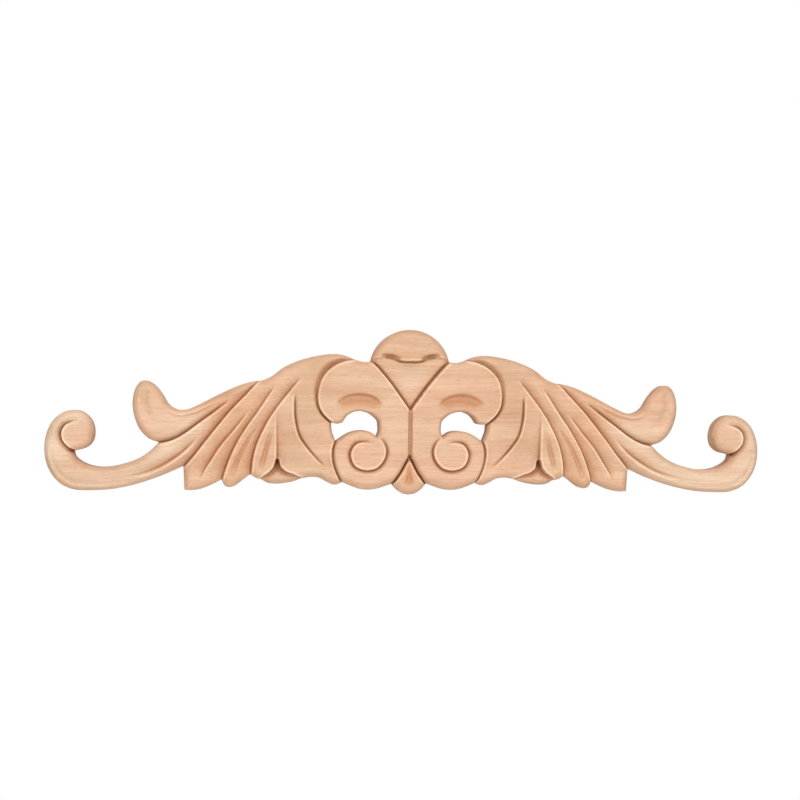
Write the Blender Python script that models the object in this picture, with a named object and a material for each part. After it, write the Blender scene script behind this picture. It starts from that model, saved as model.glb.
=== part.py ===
# Embossed applique: a flat-backed carved wood onlay of C-scrolls and acanthus fans.
# The right half is drawn in millimetres, u outward from the centre line and z up,
# its carved surface is worked out as a height above the back, and the left half mirrors it.

import math

import bpy
import numpy as np
from mathutils.geometry import delaunay_2d_cdt

MM = 0.001

# Overall sizes
WIDTH = 400.0
SAW_INSET = 0.45          # how far inside the drawn line the edge is sawn
RIM = 3.8                 # how far the edges are rounded down below the tops
RIM_OPENING = 2.6         # and round the opening inside each scroll
ROUND_EDGE = 4.0          # how far in from the outline the rounding reaches
ROUND_OPENING = 2.0
THINNEST = 2.0            # the carving never goes nearer to the back than this
ORIGIN_Z = 44.4           # height of the centre of the back above the lowest ring

# Spacing of the mesh
STEP_MEASURE = 1.0        # distances to the lines are measured on curves sampled this finely
STEP_OUTLINE = 2.7
STEP_OPENING = 2.2
STEP_LINE = 2.5
STEP_FILL = 3.5
CENTRE_POINTS = 38
CENTRE_GAP = 0.9          # loose points stay this far from the centre line
RAIL_OUTLINE = (1.3, 3.4)  # rows of points beside the outline
RAIL_NEAREST = 1.2        # and the nearest and farthest rows beside a cut
RAIL_FARTHEST = 2.4
RAIL_CLEAR = 0.9
LINE_GAP = 0.9            # cut lines stop this far from the outline
POINT_GAP = 1.0           # loose points keep this far from each other
FILL_CLEAR = 0.55         # share of the fill spacing kept from lines and from loose points
FILL_APART = 0.62

# The dome at the top is part of a circle round (0, DOME_Z)
DOME_Z = 68.2
DOME_R = 22.6
DOME_FOOT = (22.2, 72.9)
CORNER_DROP = (9.8, 4.2)
CORNER_RING = (37.2, 4.9)
CORNER_WEB_IN = (59.3, 7.0)
CORNER_WEB_OUT = (82.6, 6.5)
NOTCH_34 = (88.0, 8.9)
NOTCH_45 = (103.9, 5.9)
CORNER_FAN = (124.3, 0.5)
NOTCH_STEM = (125.0, 13.2)
NOTCH_EYE = (183.3, 21.6)
NOTCH_CURL = (138.8, 26.7)
CORNER_WING = (81.6, 61.9)
TIP_WING = (31.2, 74.0)
OPEN_TIP = (37.4, 38.1)
OPEN_CORNER = (43.2, 37.8)
OPEN_RING = (40.9, 28.8)
BOTTOM = -1.9

# The outline of the half, from the bottom centre round to the foot of the dome.
# Each curve is smooth from corner to corner.
OUTLINE = [
    [(0, BOTTOM), (3, -1.4), (5.6, -0.1), (8, 1.9), CORNER_DROP],
    [CORNER_DROP, (13, 3.1), (17.5, 1.6), (22.5, 0.9), (27.5, 1.3), (32, 2.7), CORNER_RING],
    [CORNER_RING, (39.5, 3.7), (42.3, 3.5), (46, 5.1), (50, 7.2), (54.5, 7.7), CORNER_WEB_IN],
    [CORNER_WEB_IN, (64, 5.2), (69, 4.2), (74, 3.8), (78.5, 4.3), CORNER_WEB_OUT],
    [CORNER_WEB_OUT, (85, 7.1), NOTCH_34],
    [NOTCH_34, (92, 5.9), (95.5, 3.2), (98.5, 2.0), (101, 2.2), (102.8, 3.6), NOTCH_45],
    [NOTCH_45, (109, 3.3), (114.5, 1.1), (120, 0.2), CORNER_FAN],
    [CORNER_FAN, (124.7, 7), NOTCH_STEM],
    [NOTCH_STEM, (137, 7.9), (150, 3.5), (162, 0.9), (174, 0.1), (184, 0.6), (191.5, 4.1),
     (197.2, 11.2), (199.8, 20), (199.2, 30.5), (195, 39.3), (187.6, 44.2), (180.2, 44.1),
     (174.5, 39.6), (172.4, 33), (173.3, 27.2), (177, 23.4), NOTCH_EYE],
    [NOTCH_EYE, (182.6, 19.2), (179.5, 16.6), (174, 14.3), (167, 13.6), (159, 14.9),
     (150, 18), (143.5, 22.2), NOTCH_CURL],
    [NOTCH_CURL, (143.5, 28.5), (148.6, 33.5), (152, 41.5), (152.9, 49), (151.4, 56.6),
     (148.2, 60.6), (144.6, 61.1), (140.4, 58.9), (136, 53.8), (132.3, 48), (128, 45.5),
     (123.5, 45.4), (116, 48.5), (107, 53.2), (95, 58.8), (88, 61), CORNER_WING],
    [CORNER_WING, (77, 64.1), (70, 69.3), (61, 73.3), (50, 76.1), (41, 76.9), (35.5, 75.9),
     TIP_WING],
    [TIP_WING, (28.5, 73.1), (25.5, 72.6), DOME_FOOT],
]

# The opening between the head of the scroll and its small volute
OPENING = [
    [(17.7, 36), (18.2, 39.3), (20.5, 41.7), (23.3, 43.5), (27.5, 44.5), (31.3, 44.0),
     (34.6, 42.0), OPEN_TIP],
    [OPEN_TIP, (40.4, 37.4), OPEN_CORNER],
    [OPEN_CORNER, (42.9, 34.5), (41.8, 31), OPEN_RING],
    [OPEN_RING, (37.4, 31.3), (32.8, 33.7), (27.5, 34.7), (22.3, 34), (18.6, 31.6)],
    [(18.6, 31.6), (17.8, 33.6), (17.7, 36)],
]

# The lower edge of the dome, and the edge of the low web between two leaves
LIP = [(0, 72.4), (4, 72.4), (6.6, 72.8), (8.8, 73.7), (11, 74.2), (14, 74.4), (17, 74.2),
       (20, 73.6), DOME_FOOT]
WEB = [CORNER_WEB_IN, (64.5, 9.4), (68.6, 10.9), (71.6, 13.6), (73.2, 17.8), (74.8, 13.6),
       (77, 10.8), (80, 8.7), CORNER_WEB_OUT]


def deepened(line, depths):
    """The points of a line with a depth for each."""
    return [q + (d,) for q, d in zip(line, depths)]


# The cuts: points (u, z, depth), then for the left and the right side of the line its reach
# at the start, its reach at the end and the power of its slope.  V is a knife cut, U a gouge
# cut and SLOT a groove with a flat bottom.
V, U, SLOT = "V", "U", "SLOT"
CUTS = {
    "centre_line": (SLOT, [(0, 46.5, 2.0), (0, 18.5, 2.0)], (1.3, 1.3, 1), (1.3, 1.3, 1)),
    "wedge_side": (V, [(0, 46, 2.8), (4.2, 51.8, 3.0), (9.6, 59.2, 3.0), (14.8, 65.6, 3.0),
                       (19.6, 70.8, 3.0), DOME_FOOT + (3.4,)], (1.6, 1.8, 2.0), (0.7, 0.7, 1.1)),
    "drop_side": (V, [(0, 20.5, 2.6), (1.7, 16.9, 4.4), (4.9, 10.9, 4.8), (7.4, 7.2, 5.0),
                      CORNER_DROP + (6.5,)], (1.8, 3.0, 1.8), (0.8, 0.9, 1.2)),
    "drop_facet": (U, [(0, 14.6, 0), (0, 11, 1.2), (0, 7.6, 1.9), (0, 5.6, 1.4), (0, 4.2, 0)],
                   (0.8, 4.0, 1), (0.8, 4.0, 1)),
    "lobe_outer": (V, [TIP_WING + (3.2,), (38, 72.4, 3.6), (44.4, 69, 3.4), (49.4, 63.2, 2.8),
                       (51.6, 55.8, 2.6), (51.3, 48.4, 2.8), (48.6, 42.9, 3.2),
                       OPEN_CORNER + (4.0,)], (5.5, 0.8, 2.2), (0.8, 0.8, 1.2)),
    "ring_outer": (V, [OPEN_RING + (3.6,), (42.5, 23, 3.0), (41.8, 15.5, 2.8), (39.6, 9.5, 3.2),
                       CORNER_RING + (5,)], (0.8, 0.8, 1.2), (1.6, 2.2, 2.0)),
    "small_eye": (V, [(20.2, 27.4, 0), (25.2, 28.2, 1.4), (30.2, 26.9, 2.4), (33.3, 21.4, 2.8),
                      (31.0, 14.5, 2.8), (25.0, 11.8, 2.8), (18.6, 12.8, 2.8), (14.2, 17.2, 2.8),
                      (12.7, 22.6, 2.6), (14.0, 27.2, 1.6), (16.2, 30, 0.7), (18.6, 31.8, 0)],
                  (2.6, 1.8, 1.8), (0.7, 1.0, 1.2)),
    "leaf_vein": (V, [(63.6, 54.5, 0), (63.8, 49, 2.0), (63.3, 40, 2.2), (61, 31.2, 2.2),
                      (56, 23.8, 2.0), (51, 18.2, 1.5), (46, 13.5, 0)], (0.8, 0.8, 1.2),
                  (1.6, 1.6, 2.0)),
    "finger_3_side": (V, [(73.4, 46, 0), (73.4, 38, 0.9), (73.2, 30, 1.4), (73.2, 22, 2.2),
                          (73.2, 17, 3.4)], (0.7, 0.8, 1.2), (5.5, 5.5, 1.3)),
    "finger_3_4": (V, [(61.0, 63.2, 0), (63.5, 60.3, 1.4), (66.5, 56.6, 2.2), (71.3, 50.6, 2.6),
                       (76.8, 43, 2.8), (81.6, 34.4, 3.0), (85.2, 26, 3.2), (87.2, 17.5, 3.4),
                       NOTCH_34 + (4.4,)], (4.0, 7.0, 1.3), (0.7, 0.8, 1.2)),
    "finger_3_scoop": (U, [(75.6, 36, 0), (77.8, 29.5, 1.5), (79.8, 22, 2.2), (81.4, 16, 1.6),
                           (82.4, 11, 0)], (1.7, 2.0, 1), (1.7, 2.0, 1)),
    "finger_4_5": (V, [(75.0, 58.6, 0), (77.4, 55.4, 1.4), (80.4, 50.8, 2.2), (85.2, 43.6, 2.4),
                       (91, 35.4, 2.7), (96.2, 26.6, 3.0), (100.2, 17.6, 3.4), (102.6, 10.6, 3.8),
                       NOTCH_45 + (4.4,)], (4.0, 7.5, 1.3), (0.7, 0.8, 1.2)),
    "finger_4_scoop": (U, [(81.0, 41.0, 0), (85.6, 33.6, 1.7), (90.2, 26.6, 2.2), (94.2, 19.0, 2.2),
                           (97.6, 11, 1.2), (98.8, 7, 0)], (1.7, 2.1, 1), (1.7, 2.1, 1)),
    "finger_5_6": (V, [(88.8, 45.4, 0), (92.6, 40.6, 1.6), (97.4, 34.4, 2.2), (104.4, 26, 2.6),
                       (110.3, 17, 2.6), (113.6, 11.6, 1.8), (115.6, 7, 0)], (4.0, 6.5, 1.4),
                   (0.7, 0.8, 1.2)),
    "fan_edge": (V, [(82.6, 63.0, 2.6), (91, 53.8, 2.8), (99.4, 45.0, 3.2), (106.6, 36.2, 3.2),
                     (113.2, 27.8, 3.2), (119, 20.2, 3.4), NOTCH_STEM + (4.2,)],
                 (4.5, 5.0, 1.5), (0.7, 0.8, 1.2)),
    "stem_vein": (V, [(115.6, 32.0, 0), (119, 28.2, 0.9), (124, 23.0, 2.2), (131, 17.8, 2.4),
                      (139, 13.2, 2.0), (147, 10.2, 1.5), (157, 8.0, 1.0), (170, 6.6, 0.6),
                      (180, 7.0, 0)], (4.0, 4.5, 1.4), (0.9, 2.0, 1.2)),
    "stem_hollow": (U, [(141, 8.6, 0), (150, 6.3, 0.8), (162, 4.4, 1.1), (174, 3.8, 1.1),
                        (185, 5.2, 1.1), (192.4, 11.0, 1.0), (195.8, 20, 0.6), (195.6, 29, 0)],
                    (2.6, 2.6, 1), (2.6, 2.6, 1)),
    "curl_under": (V, [(99, 50.8, 0), (102.6, 48.4, 1.6), (107.6, 44.6, 2.6), (116, 38.4, 3.2),
                       (125, 31.8, 3.6), (131.5, 28.4, 3.8), NOTCH_CURL + (4.6,)],
                   (2.6, 4.6, 2.0), (0.7, 0.9, 1.2)),
    "curl_bead": (V, [(103, 50.2, 0), (110.8, 46.4, 0.9), (119.5, 42.6, 1.1), (127, 41.2, 0.9),
                      (132, 42.6, 0.6), (135.6, 46.4, 0)], (1.2, 1.2, 1.2), (2.4, 2.4, 1.4)),
    "curl_scoop": (U, [(137.5, 35, 0), (143.6, 41.6, 0.9), (146, 49, 1.2), (145.4, 54.6, 0.8),
                       (144.8, 58, 0)], (4, 3, 1), (4, 3, 1)),
    "outer_eye": (V, [(180.6, 39.3, 0), (184.4, 38.3, 1.2), (188.4, 36.4, 3.2), (190.7, 32.4, 4.0),
                      (190.1, 27.8, 3.6), (187.2, 24.2, 3.4), NOTCH_EYE + (5.4,)],
                  (3.6, 3.0, 1.7), (0.7, 0.8, 1.2)),
    "eye_pit": (U, [(182.6, 20.9, 3.0), (184.4, 22.0, 5.8), (186.0, 22.8, 4.8), (187.8, 24.0, 0)],
                (1.3, 1.2, 1), (1.3, 1.2, 1)),
    "lip": (V, deepened(LIP, (2.6, 2.6, 2.4, 1.8, 1.2, 0.9, 0.7, 0.4, 0)), (0.7, 0.8, 1.2),
            (0.7, 0.8, 1.2)),
    "lip_hollow": (U, [(5.6, 73.5, 0), (7.8, 74.4, 3.2), (10.2, 75.2, 5.2), (12.6, 75.5, 4.6),
                       (14.8, 75.6, 2.2), (16.8, 75.6, 0)], (1.6, 1.8, 1), (1.6, 1.8, 1)),
    "cove": (U, [(16.0, 47.4, 0), (18.2, 50.2, 2.0), (22.4, 52.6, 3.6), (28, 53.6, 4.2),
                 (33.8, 52.8, 3.6), (38.0, 50.6, 2.0), (41.0, 48.0, 0)], (1.6, 1.6, 1),
             (9.5, 9.5, 1)),
    "web_edge": (V, deepened(WEB, (2.4, 2.6, 2.8, 3.2, 4.0, 3.2, 2.8, 2.6, 2.4)), (0.7, 0.7, 1.2),
                 (3.0, 3.0, 1.3)),
    "web_pit": (U, [(73.2, 18.6, 0), (73.2, 15.8, 5.0), (73.2, 13, 3.0), (73.2, 11, 0)],
                (1.5, 1.7, 1), (1.5, 1.7, 1)),
}
SLOT_FLAT = 0.45          # share of a slot's half width that is its flat bottom
JOIN = 3                  # cuts that meet are joined as the root of their summed powers

# Heights of the uncut tops above the back: points (u, z, height), blended in between
TOPS = {
    "leaf": [(45, 73, 11), (56, 66, 12.5), (57, 50, 13), (57, 35, 12), (48, 25, 10.5), (44, 12, 9),
             (41, 6, 8.5), (70, 62, 12.5), (70, 45, 12), (66, 25, 10.5), (58, 13, 9.5),
             (78, 58, 12), (79, 35, 11.2), (79, 16, 10), (90, 50, 11.6), (92, 28, 10.6),
             (99, 8, 9.8), (105, 35, 11), (116, 10, 9.8), (100, 50, 11.4), (113, 38, 11.2),
             (126, 22, 11), (120, 43, 11), (136, 38, 11), (146, 42, 11), (146, 56, 10.5),
             (140, 14, 11), (160, 8, 11.2), (180, 8, 11.6), (195, 20, 12), (190, 41, 12),
             (181, 32, 12.4), (176, 38, 12)],
    "scroll": [(8, 36, 14), (10, 48, 14.8), (18, 60, 15.6), (30, 62, 16), (43, 60, 15.2),
               (45, 48, 13.5), (42, 42, 12.5), (8, 24, 14), (11, 12, 13.2), (22, 6, 12.5),
               (34, 8, 12.2), (38.5, 20, 12.4), (34, 29, 12.8), (22, 31, 13.4), (24, 20, 13.4)],
    "wedge": [(0, 66, 11.2), (0, 52, 11.0), (12, 70, 11.4), (14, 73.6, 12.4), (5, 71.4, 12.0)],
    "drop": [(0, 14, 10), (0, 4, 10), (0, 0, 9.5)],
    "dome": [(0, 75.5, 15.4), (0, 80, 14.2), (14, 78, 13.6), (0, 88, 12.6), (16, 84, 12.4)],
    "web": [(73.5, 5, 7.4), (66, 6, 6.8), (80, 6, 6.6), (73.3, 15, 4.6)],
}
BLEND_REACH = 5.0
FORM_SEAM = 1.2           # width of the seam over which one form's level turns into the next


def smooth_curve(points, step):
    """Centripetal Catmull-Rom curve through the points, with the running index of each sample."""
    p = np.asarray(points, float)
    ends = np.vstack([2 * p[0] - p[1], p, 2 * p[-1] - p[-2]])
    samples = []
    index = []
    for i in range(len(p) - 1):
        a, b, c, d = ends[i:i + 4]
        t1 = math.dist(a, b) ** 0.5
        t2 = t1 + math.dist(b, c) ** 0.5
        t3 = t2 + math.dist(c, d) ** 0.5
        count = max(1, math.ceil(math.dist(b, c) / step))
        f = np.arange(count) / count
        t = (t1 + (t2 - t1) * f)[:, None]
        ab = (t1 - t) / t1 * a + t / t1 * b
        bc = (t2 - t) / (t2 - t1) * b + (t - t1) / (t2 - t1) * c
        cd = (t3 - t) / (t3 - t2) * c + (t - t2) / (t3 - t2) * d
        abc = (t2 - t) / t2 * ab + t / t2 * bc
        bcd = (t3 - t) / (t3 - t1) * bc + (t - t1) / (t3 - t1) * cd
        samples.append((t2 - t) / (t2 - t1) * abc + (t - t1) / (t2 - t1) * bcd)
        index.append(i + f)
    samples.append(p[-1:])
    index.append(np.array([len(p) - 1.0]))
    return np.vstack(samples), np.concatenate(index)


def chain(curves, step):
    """Curves joined end to end, without the last point."""
    return np.vstack([smooth_curve(c, step)[0][:-1] for c in curves])


def dome_arc(step):
    """The circle of the dome from its foot to its top on the centre line."""
    start = math.atan2(DOME_FOOT[1] - DOME_Z, DOME_FOOT[0])
    count = max(6, math.ceil(DOME_R * (math.pi / 2 - start) / step))
    angle = np.linspace(start, math.pi / 2, count + 1)
    arc = np.stack([DOME_R * np.cos(angle), DOME_Z + DOME_R * np.sin(angle)], 1)
    arc[0] = DOME_FOOT
    arc[-1, 0] = 0.0
    return arc


def inset(line, by, closed):
    """Each point moved to its left along the mean normal of its two segments."""
    step = np.diff(np.vstack([line, line[:1]]) if closed else line, axis=0)
    step /= np.linalg.norm(step, axis=1)[:, None]
    after = step if closed else np.vstack([step, step[-1:]])
    before = np.roll(step, 1, 0) if closed else np.vstack([step[:1], step])
    both = np.stack([-(after + before)[:, 1], (after + before)[:, 0]], 1)
    size = np.maximum(np.linalg.norm(both, axis=1), 1.0)[:, None]
    return line + by * both / size * 2 / size


def half_outline(step):
    edge = inset(np.vstack([chain(OUTLINE, step), dome_arc(step)]), SAW_INSET, False)
    edge[[0, -1], 0] = 0.0
    return edge


def opening(step):
    return inset(chain(OPENING, step), SAW_INSET, True)


def nearest(p, line, index):
    """Distance of each point to a line, its side (+1 left) and the running index there."""
    a = line[:-1]
    ab = line[1:] - a
    ap = p[:, None, :] - a[None]
    along = np.clip((ap * ab).sum(2) / (ab ** 2).sum(1), 0, 1)
    off = ap - along[..., None] * ab
    square = (off ** 2).sum(2)
    j = square.argmin(1)
    n = np.arange(len(p))
    cross = ab[j, 0] * ap[n, j, 1] - ab[j, 1] * ap[n, j, 0]
    at = index[j] + (index[j + 1] - index[j]) * along[n, j]
    return np.sqrt(square[n, j]), np.where(cross >= 0, 1.0, -1.0), at


def inside(p, ring):
    """Which points lie inside a closed ring."""
    x, y = p[:, 0], p[:, 1]
    hit = np.zeros(len(p), bool)
    for (x0, y0), (x1, y1) in zip(ring, np.roll(ring, -1, 0)):
        if y0 != y1:
            crosses = (y0 <= y) != (y1 <= y)
            hit ^= crosses & (x < x0 + (y - y0) * (x1 - x0) / (y1 - y0))
    return hit


def blended(p, tops):
    """Height of the uncut tops at the points, each named height weighing most near its own place."""
    t = np.array(tops, float)
    square = ((p[:, None, :] - t[None, :, :2]) ** 2).sum(2) + BLEND_REACH ** 2
    weight = square ** -2
    return (weight * t[:, 2]).sum(1) / weight.sum(1)


def form_rings():
    """Closed rings round the forms that have tops of their own.  They run past the centre line."""
    cut = {name: smooth_curve([q[:2] for q in CUTS[name][1]], STEP_MEASURE)[0]
           for name in ("wedge_side", "drop_side", "ring_outer", "lobe_outer", "web_edge")}
    edge = [smooth_curve(curve, STEP_MEASURE)[0] for curve in OUTLINE]
    lip = smooth_curve(LIP, STEP_MEASURE)[0]
    top, low, over = cut["wedge_side"][0, 1], cut["drop_side"][0, 1], -DOME_R
    return {
        "scroll": np.vstack([cut["drop_side"][:-1], edge[1][:-1], cut["ring_outer"][::-1],
                             cut["lobe_outer"][::-1][:-1], edge[-1][:-1],
                             cut["wedge_side"][::-1], [(over, top), (over, low)]]),
        "wedge": np.vstack([cut["wedge_side"], lip[::-1][1:], [(over, lip[0, 1]), (over, top)]]),
        "drop": np.vstack([edge[0][:-1], cut["drop_side"][::-1], [(over, low), (over, BOTTOM)]]),
        "dome": np.vstack([lip[:-1], dome_arc(STEP_MEASURE),
                           [(over, DOME_Z + DOME_R), (over, lip[0, 1])]]),
        "web": np.vstack([cut["web_edge"], edge[3][::-1][1:-1]]),
    }


def cut_depth(p, kind, points, left, right):
    """How deep one cut goes at the points, with away = distance / reach."""
    line, index = smooth_curve([q[:2] for q in points], STEP_MEASURE)
    distance, side, at = nearest(p, line, index)
    deep = np.interp(at, np.arange(len(points)), [q[2] for q in points])
    share = at / (len(points) - 1)
    reach = np.where(side > 0, left[0] + (left[1] - left[0]) * share,
                     right[0] + (right[1] - right[0]) * share)
    away = np.clip(distance / reach, 0, 1)
    if kind == U:
        return deep * (1 - away ** 2) ** 2
    if kind == SLOT:
        slope = np.clip((1 - away) / (1 - SLOT_FLAT), 0, 1)
        return deep * slope ** 2 * (3 - 2 * slope)
    return deep * (1 - away) ** np.where(side > 0, left[2], right[2])


def height(p):
    """Height of the carved surface above the back at the points."""
    top = blended(p, TOPS["leaf"])
    for name, ring in form_rings().items():
        closed = np.vstack([ring, ring[:1]])
        away = nearest(p, closed, np.arange(len(closed)))[0]
        share = np.clip(0.5 + np.where(inside(p, ring), away, -away) / FORM_SEAM, 0, 1)
        top += (blended(p, TOPS[name]) - top) * share
    edge = half_outline(STEP_MEASURE)
    hole = opening(STEP_MEASURE)
    hole = np.vstack([hole, hole[:1]])
    count = np.arange(max(len(edge), len(hole)))
    to_edge = nearest(p, edge, count)[0]
    to_hole = nearest(p, hole, count)[0]
    total = (RIM * np.clip(1 - to_edge / ROUND_EDGE, 0, 1) ** 2) ** JOIN
    total += (RIM_OPENING * np.clip(1 - to_hole / ROUND_OPENING, 0, 1) ** 2) ** JOIN
    for cut in CUTS.values():
        total += cut_depth(p, *cut) ** JOIN
    return np.maximum(top - total ** (1 / JOIN), THINNEST)


def offset_rail(line, distance, side):
    """The line moved sideways, +1 to its left."""
    along = np.gradient(line, axis=0)
    along /= np.linalg.norm(along, axis=1)[:, None]
    return line + side * distance * np.stack([-along[:, 1], along[:, 0]], 1)


def clear_of(p, lines, gap):
    """Which points keep the gap to every line."""
    free = np.ones(len(p), bool)
    for line in lines:
        free &= nearest(p, line, np.arange(len(line)))[0] > gap
    return free


def centre_line(edge):
    """Points down the centre line, close together where the dome and the drop are rounded."""
    low = edge[0, 1]
    high = edge[-1, 1]
    near_edge = np.array(RAIL_OUTLINE)
    inner = np.linspace(low + near_edge[-1], high - near_edge[-1], CENTRE_POINTS)
    z = np.concatenate([[low], low + near_edge[:-1], inner, high - near_edge[-2::-1], [high]])
    return np.stack([np.zeros(len(z)), z[::-1]], 1)


def cut_lines(edge, ring):
    """Lines that the mesh must keep, valleys of the gouge cuts, and the rails beside both."""
    lines = []
    valleys = []
    rails = []
    half = np.vstack([edge, [(-1, edge[-1, 1]), (-1, edge[0, 1])]])
    for kind, points, left, right in CUTS.values():
        line = smooth_curve([q[:2] for q in points], STEP_LINE)[0]
        on_centre = points[0][0] + points[-1][0] == 0
        if kind == U:
            valleys.append(line[line[:, 0] > 0])
        elif on_centre:
            lines.append(line + (right[0], 0))
        else:
            lines.append(line[inside(line, half) & clear_of(line, [edge, ring], LINE_GAP)])
        for side, reach in ((1, sum(left[:2]) / 2), (-1, sum(right[:2]) / 2)):
            away = min(max(reach, RAIL_NEAREST), RAIL_FARTHEST)
            rails.append((offset_rail(line, away, side), away))
    return lines, valleys, rails


def mesh_points(edge, hole):
    """The border of the half, the lines inside it, and the loose points beside them."""
    ring = np.vstack([hole, hole[:1]])
    border = [np.vstack([edge, centre_line(edge)[1:]]), ring]
    lines, loose, rails = cut_lines(edge, ring)
    for distance in RAIL_OUTLINE:
        rails += [(offset_rail(source, distance, 1), distance) for source in (edge, ring)]
    for rail, away in rails:
        gap = min(away, RAIL_NEAREST)
        free = inside(rail, border[0]) & ~inside(rail, hole) & (rail[:, 0] > CENTRE_GAP)
        free &= clear_of(rail, [edge, ring], RAIL_CLEAR * gap)
        free &= clear_of(rail, lines, RAIL_CLEAR * gap)
        loose.append(rail[free])
    return border, lines, loose


def thin_out(groups):
    """Points of the groups, leaving out those that crowd an earlier one."""
    loose = np.vstack(groups)
    taken = [loose[0]]
    for q in loose[1:]:
        if ((np.array(taken) - q) ** 2).sum(1).min() > POINT_GAP ** 2:
            taken.append(q)
    return np.array(taken)


def fill_points(taken, edge, hole, lines):
    """A honeycomb of points in the wide places that the lines and rails leave free."""
    cols = np.arange(0, WIDTH / 2, STEP_FILL)
    rows = np.arange(BOTTOM, DOME_Z + DOME_R, STEP_FILL * math.sqrt(3) / 2)
    x, y = np.meshgrid(cols, rows)
    x[1::2] += STEP_FILL / 2
    grid = np.stack([x.ravel(), y.ravel()], 1)
    grid = grid[inside(grid, edge) & ~inside(grid, hole)]
    grid = grid[clear_of(grid, [edge, np.vstack([hole, hole[:1]])] + lines, FILL_CLEAR * STEP_FILL)]
    square = ((grid[:, None, :] - taken[None]) ** 2).sum(2).min(1)
    return grid[(square > (FILL_APART * STEP_FILL) ** 2) & (grid[:, 0] > CENTRE_GAP)]


def triangulate(points, chains):
    """Triangles over all points that keep the chains as edges."""
    verts = [tuple(q) for q in points]
    links = []
    for line in chains:
        first = len(verts)
        verts += [tuple(q) for q in line]
        links += [(first + i, first + i + 1) for i in range(len(line) - 1)]
    flat, _, faces, _, _, _ = delaunay_2d_cdt(verts, links, [], 0, 1e-4)
    flat = np.array([tuple(q) for q in flat])
    faces = np.array([f[:] for f in faces])
    middle = flat[faces].mean(1)
    return flat, faces[inside(middle, chains[0]) & ~inside(middle, chains[1])]


def compact(flat, faces):
    """Drops the points that no triangle uses."""
    used = np.unique(faces)
    number = np.full(len(flat), -1)
    number[used] = np.arange(len(used))
    return flat[used], number[faces]


def face_up(flat, faces):
    """Turns every triangle the same way round."""
    a, b, c = flat[faces[:, 0]], flat[faces[:, 1]], flat[faces[:, 2]]
    turn = (b - a)[:, 0] * (c - a)[:, 1] - (b - a)[:, 1] * (c - a)[:, 0]
    faces = faces.copy()
    faces[turn < 0] = faces[turn < 0][:, ::-1]
    return faces


def open_edges(faces):
    """Edges used by one triangle only, in the direction of that triangle."""
    pairs = np.vstack([faces[:, [0, 1]], faces[:, [1, 2]], faces[:, [2, 0]]])
    keys = {(int(a), int(b)) for a, b in pairs}
    return np.array([k for k in sorted(keys) if (k[1], k[0]) not in keys])


def build_half():
    """Front of the half: flat points, their heights and the triangles."""
    edge = half_outline(STEP_OUTLINE)
    hole = opening(STEP_OPENING)
    border, lines, loose = mesh_points(edge, hole)
    taken = thin_out(loose)
    fill = fill_points(taken, edge, hole, lines)
    flat, faces = compact(*triangulate(np.vstack([taken, fill]), border + lines))
    return flat, height(flat), face_up(flat, faces)


def build_body():
    """Both halves, the walls and the flat back as one closed mesh."""
    flat, top, faces = build_half()
    scale = (WIDTH / 2) / flat[:, 0].max()
    on_centre = np.abs(flat[:, 0]) < 1e-6
    twin = np.arange(len(flat))
    twin[~on_centre] = len(flat) + np.arange((~on_centre).sum())
    left = flat[~on_centre] * (-1, 1)
    plan = np.vstack([flat, left])
    rise = np.concatenate([top, top[~on_centre]])
    front = np.vstack([faces, twin[faces][:, ::-1]])
    rim = open_edges(front)
    rim_points = np.unique(rim)
    back_number = np.full(len(plan), -1)
    back_number[rim_points] = len(plan) + np.arange(len(rim_points))
    walls = []
    for a, b in rim:
        walls += [(b, a, back_number[a]), (b, back_number[a], back_number[b])]
    back = back_faces(plan, rim, back_number)
    x = plan[:, 0] * scale
    z = plan[:, 1] * scale - ORIGIN_Z
    verts = np.stack([x, -rise, z], 1)
    low = verts[rim_points].copy()
    low[:, 1] = 0.0
    verts = np.vstack([verts, low]) * MM
    return verts, [tuple(int(i) for i in f) for f in front] + walls + back


def back_faces(plan, rim, back_number):
    """Flat back on the same rim, triangulated without any inner points."""
    names = np.unique(rim)
    place = {int(n): i for i, n in enumerate(names)}
    links = [(place[int(a)], place[int(b)]) for a, b in rim]
    spots = [tuple(plan[n]) for n in names]
    flat, _, faces, origin, _, _ = delaunay_2d_cdt(spots, links, [], 0, 1e-5)
    flat = np.array([tuple(q) for q in flat])
    faces = face_up(flat, np.array([f[:] for f in faces]))
    edge = half_outline(STEP_OUTLINE)
    ring = np.vstack([edge, edge[::-1] * (-1, 1)])
    middle = flat[faces].mean(1)
    folded = np.abs(middle[:, :1]) * (1, 0) + middle * (0, 1)
    keep = inside(middle, ring) & ~inside(folded, opening(STEP_OPENING))
    source = [names[origin[i][0]] for i in range(len(flat))]
    result = []
    for f in faces[keep]:
        a, b, c = (int(back_number[source[i]]) for i in f)
        result.append((c, b, a))
    return result


def wood_material():
    material = bpy.data.materials.new("carved_wood")
    material.use_nodes = True
    surface = material.node_tree.nodes["Principled BSDF"]
    surface.inputs["Base Color"].default_value = (0.68, 0.42, 0.27, 1.0)
    surface.inputs["Roughness"].default_value = 0.55
    surface.inputs["Metallic"].default_value = 0.0
    return material


def main():
    for old in list(bpy.data.objects):
        bpy.data.objects.remove(old)
    verts, faces = build_body()
    mesh = bpy.data.meshes.new("carved_applique")
    mesh.from_pydata([tuple(v) for v in verts], [], faces)
    mesh.validate()
    mesh.materials.append(wood_material())
    body = bpy.data.objects.new("carved_applique", mesh)
    bpy.context.scene.collection.objects.link(body)
    mesh.shade_smooth()
    mesh.set_sharp_from_angle(angle=math.radians(32))


main()
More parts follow.
